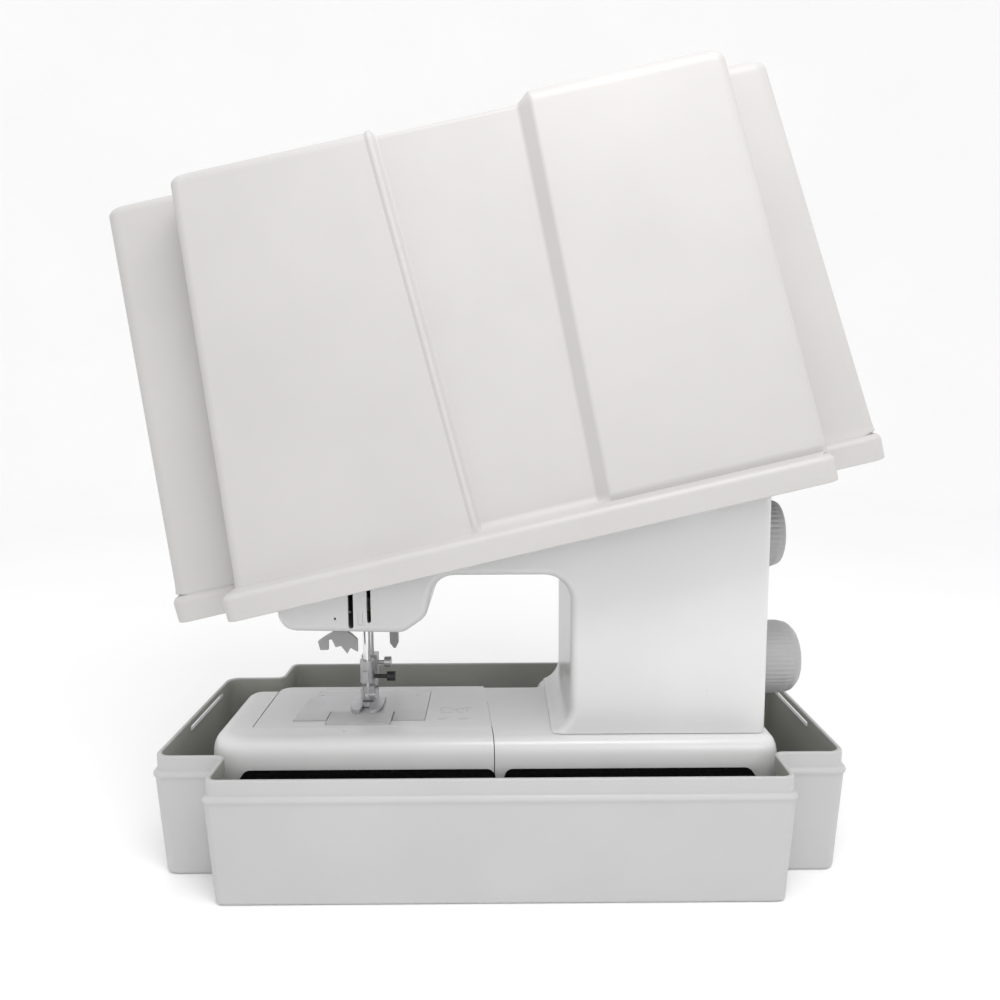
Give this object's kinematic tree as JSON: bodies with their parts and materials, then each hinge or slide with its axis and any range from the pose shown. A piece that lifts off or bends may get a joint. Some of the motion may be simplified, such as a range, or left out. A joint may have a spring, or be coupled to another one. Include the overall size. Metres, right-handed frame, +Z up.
{
  "type": "sewing machine",
  "caption": "Free-arm sewing machine with side handwheel and dial, standing in a hard carrying case whose cover is tilted open.",
  "frame": {"origin": "middle of the case tray's flat underside, on the surface it stands on", "axes": "+X to the handwheel end, +Y to the back, +Z up; the cover is stored tilted about Y as it is held open"},
  "size_m": [0.5002, 0.2442, 0.5326],
  "materials": {
    "tray_plastic": "satin, lightly moulded texture",
    "cover_plastic": "satin, faintly warm white",
    "foam": "matt black packing foam",
    "machine_plastic": "smooth, low gloss",
    "arm_plastic": "smooth, low gloss",
    "dial_plastic": "satin grey",
    "dark_plastic": "matt black",
    "rubber": "matt",
    "cast_alloy": "as cast",
    "plate_steel": "brushed",
    "bright_steel": "polished",
    "dark_steel": "machined",
    "bronze": "sintered",
    "clear_plastic": "clear",
    "board": "circuit board"
  },
  "bodies": {
    "case": {"case_tray": "tray_plastic", "foam_blocks": "foam", "latch_pins": "bright_steel"},
    "left_latch": {"latch_left": "tray_plastic"},
    "right_latch": {"latch_right": "tray_plastic"},
    "machine": {"front_casing": "machine_plastic", "rear_casing": "machine_plastic", "face_plate": "machine_plastic", "bed_casing": "machine_plastic", "base_pan": "arm_plastic", "rubber_feet": "rubber", "machine_frame": "cast_alloy", "needle_plate": "plate_steel", "bobbin_cover": "dial_plastic", "handle_pins": "bright_steel", "winder_stop": "arm_plastic", "shaft_bushes": "bronze", "motor": "dark_steel", "motor_belt": "rubber", "timing_belt": "rubber", "bobbin_case": "dark_plastic", "work_lamp": "clear_plastic", "power_inlet": "dark_plastic", "control_board": "board", "casing_screws": "bright_steel", "presser_spring": "bright_steel"},
    "cover": {"case_cover": "cover_plastic", "case_handle_pins": "bright_steel"},
    "cover_handle": {"case_handle": "cover_plastic"},
    "accessory_store": {"accessory_box": "machine_plastic"},
    "top_handle": {"carry_handle": "machine_plastic"},
    "spool_post": {"spool_pin": "arm_plastic"},
    "winder": {"bobbin_winder_arm": "plate_steel"},
    "winder_post": {"bobbin_winder_spindle": "bright_steel"},
    "drive": {"handwheel": "dial_plastic", "main_shaft": "bright_steel", "needle_crank": "dark_steel", "drive_pulley": "cast_alloy", "timing_pulley": "dark_steel"},
    "motor_rotor": {"motor_pulley": "bright_steel"},
    "lower_drive": {"lower_shaft": "bright_steel"},
    "rotary_hook": {"hook": "bright_steel"},
    "bobbin_spool": {"bobbin": "clear_plastic"},
    "feed": {"feed_dog": "plate_steel"},
    "needle_unit": {"needle_bar": "bright_steel", "needle_clamp": "dark_steel", "needle_clamp_screw": "dark_plastic", "needle": "bright_steel", "needle_link": "dark_steel"},
    "take_up": {"take_up_lever": "bright_steel"},
    "presser_unit": {"presser_bar": "bright_steel", "foot_holder": "dark_steel"},
    "foot": {"presser_foot": "bright_steel"},
    "lifter": {"presser_lifter": "dial_plastic"},
    "threader": {"needle_threader": "dial_plastic"},
    "pattern_knob": {"pattern_dial": "dial_plastic"},
    "tension_knob": {"tension_dial": "arm_plastic"},
    "length_knob": {"length_dial": "arm_plastic"},
    "reverse_key": {"reverse_button": "arm_plastic"},
    "switch_rocker": {"power_switch": "dark_plastic"}
  },
  "joints": [
    {"name": "machine_lift_out", "type": "slide", "parent": "case", "child": "machine", "axis": [0, 0, 1], "range_m": [0, 0.12]},
    {"name": "cover_swing", "type": "hinge", "parent": "machine", "child": "cover", "pos_m": [-0.668, 0, 0.239], "axis": [0, -1, 0], "range_deg": [-13, 13]},
    {"name": "case_handle_fold", "type": "hinge", "parent": "cover", "child": "cover_handle", "pos_m": [-0.08562, 0, 0.47194], "axis": [-0.9787, 0, -0.2054], "range_deg": [0, 90]},
    {"name": "left_latch_swing", "type": "hinge", "parent": "case", "child": "left_latch", "pos_m": [-0.2375, 0.02, 0.064], "axis": [0, 1, 0], "range_deg": [0, 150]},
    {"name": "right_latch_swing", "type": "hinge", "parent": "case", "child": "right_latch", "pos_m": [0.2375, 0.02, 0.064], "axis": [0, -1, 0], "range_deg": [0, 150]},
    {"name": "accessory_box_slide", "type": "slide", "parent": "machine", "child": "accessory_store", "axis": [-1, 0, 0], "range_m": [0, 0.022]},
    {"name": "carry_handle_fold", "type": "hinge", "parent": "machine", "child": "top_handle", "pos_m": [0.075, 0.04, 0.298], "axis": [-1, 0, 0], "range_deg": [0, 90]},
    {"name": "spool_pin_raise", "type": "slide", "parent": "machine", "child": "spool_post", "axis": [0, 0, 1], "range_m": [0, 0.035]},
    {"name": "winder_engage", "type": "hinge", "parent": "machine", "child": "winder", "pos_m": [0.144, -0.014, 0.285], "axis": [0, 0, 1], "range_deg": [0, 12]},
    {"name": "winder_spin", "type": "hinge", "parent": "winder", "child": "winder_post", "pos_m": [0.15, -0.024, 0.29], "axis": [0, 0, 1], "continuous": true},
    {"name": "handwheel_turn", "type": "hinge", "parent": "machine", "child": "drive", "pos_m": [0, -0.004, 0.2235], "axis": [1, 0, 0], "continuous": true},
    {"name": "motor_turn", "type": "hinge", "parent": "machine", "child": "motor_rotor", "pos_m": [0.12, 0.008, 0.05], "axis": [1, 0, 0], "continuous": true},
    {"name": "lower_shaft_turn", "type": "hinge", "parent": "machine", "child": "lower_drive", "pos_m": [0, -0.004, 0.054], "axis": [1, 0, 0], "continuous": true},
    {"name": "hook_turn", "type": "hinge", "parent": "machine", "child": "rotary_hook", "pos_m": [-0.102, -0.0225, 0.07], "axis": [0, 0, 1], "continuous": true},
    {"name": "bobbin_spin", "type": "hinge", "parent": "machine", "child": "bobbin_spool", "pos_m": [-0.102, -0.0225, 0.08], "axis": [0, 0, 1], "continuous": true},
    {"name": "feed_dog_move", "type": "slide", "parent": "machine", "child": "feed", "axis": [0, 1, 0], "range_m": [-0.002, 0.002]},
    {"name": "needle_bar_stroke", "type": "slide", "parent": "machine", "child": "needle_unit", "axis": [0, 0, 1], "range_m": [0, 0.028]},
    {"name": "take_up_rock", "type": "hinge", "parent": "machine", "child": "take_up", "pos_m": [-0.101, -0.02, 0.24], "axis": [1, 0, 0], "range_deg": [-18, 18]},
    {"name": "presser_lifter_turn", "type": "hinge", "parent": "machine", "child": "lifter", "pos_m": [-0.088, 0.055, 0.176], "axis": [0, -1, 0], "range_deg": [0, 60]},
    {"name": "presser_bar_lift", "type": "slide", "parent": "machine", "child": "presser_unit", "axis": [0, 0, 1], "range_m": [0, 0.006], "deforming": ["presser_spring"]},
    {"name": "presser_foot_tilt", "type": "hinge", "parent": "presser_unit", "child": "foot", "pos_m": [-0.1, 0.0045, 0.1008], "axis": [-1, 0, 0], "range_deg": [0, 6]},
    {"name": "needle_threader_pull", "type": "slide", "parent": "machine", "child": "threader", "axis": [0, 0, -1], "range_m": [0, 0.02], "stiffness_N_per_m": 40, "springref_m": -0.006},
    {"name": "pattern_dial_turn", "type": "hinge", "parent": "machine", "child": "pattern_knob", "pos_m": [0.198, -0.02, 0.134], "axis": [1, 0, 0], "continuous": true},
    {"name": "tension_dial_turn", "type": "hinge", "parent": "machine", "child": "tension_knob", "pos_m": [-0.058, -0.066, 0.25], "axis": [0, -1, 0], "range_deg": [-135, 135]},
    {"name": "length_dial_turn", "type": "hinge", "parent": "machine", "child": "length_knob", "pos_m": [0.128, -0.066, 0.262], "axis": [0, -1, 0], "range_deg": [-135, 135]},
    {"name": "reverse_button_press", "type": "slide", "parent": "machine", "child": "reverse_key", "axis": [0, 1, 0], "range_m": [0, 0.004], "stiffness_N_per_m": 300, "springref_m": -0.003},
    {"name": "power_switch_rock", "type": "hinge", "parent": "machine", "child": "switch_rocker", "pos_m": [0.1916, 0.024, 0.047], "axis": [0, -1, 0], "range_deg": [-6, 6]}
  ],
  "couplings": [
    {"joint": "motor_turn", "follows": "handwheel_turn", "ratio": 4},
    {"joint": "lower_shaft_turn", "follows": "handwheel_turn", "ratio": 1},
    {"joint": "hook_turn", "follows": "handwheel_turn", "ratio": 2},
    {"joint": "presser_lifter_turn", "follows": "presser_bar_lift", "rad_per_m": 174.36}
  ]
}
